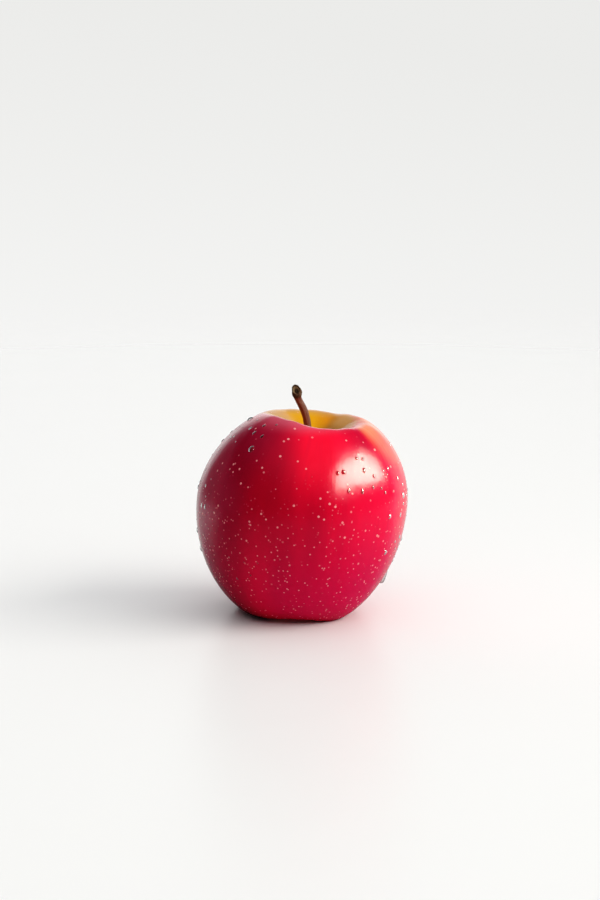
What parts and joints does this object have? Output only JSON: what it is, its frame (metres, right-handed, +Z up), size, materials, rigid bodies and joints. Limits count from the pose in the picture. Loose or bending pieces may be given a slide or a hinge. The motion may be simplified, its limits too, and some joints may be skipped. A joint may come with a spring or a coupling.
{
  "type": "apple",
  "caption": "Whole ripe red apple standing on its lobed base, with a leaning woody stem in its cavity, a dried flower end beneath and beads of water on the skin.",
  "frame": {"origin": "on the surface that the apple stands on, below the middle of its bounding box", "axes": "+Z up from the base to the stem, +X to the side that the apple leans to, -Y to the side with the highest shoulder lobe's face"},
  "size_m": [0.0758, 0.075, 0.0827],
  "materials": {
    "skin": "waxy apple skin, glossy, red blush over yellow-orange ground with pale lenticels",
    "stem_bark": "dry reddish-brown bark, matte",
    "dried_sepal": "dried downy sepal, matte",
    "dried_tuft": "dried stamens, matte",
    "water": "clear water, glossy"
  },
  "bodies": {
    "root": {"fruit": "skin", "stem": "stem_bark", "sepal_1": "dried_sepal", "sepal_2": "dried_sepal", "sepal_3": "dried_sepal", "sepal_4": "dried_sepal", "sepal_5": "dried_sepal", "stamen_tuft": "dried_tuft", "water_drop_01": "water", "water_drop_02": "water", "water_drop_03": "water", "water_drop_04": "water", "water_drop_05": "water", "water_drop_06": "water", "water_drop_07": "water", "water_drop_08": "water", "water_drop_09": "water", "water_drop_10": "water", "water_drop_11": "water", "water_drop_12": "water"}
  },
  "joints": []
}
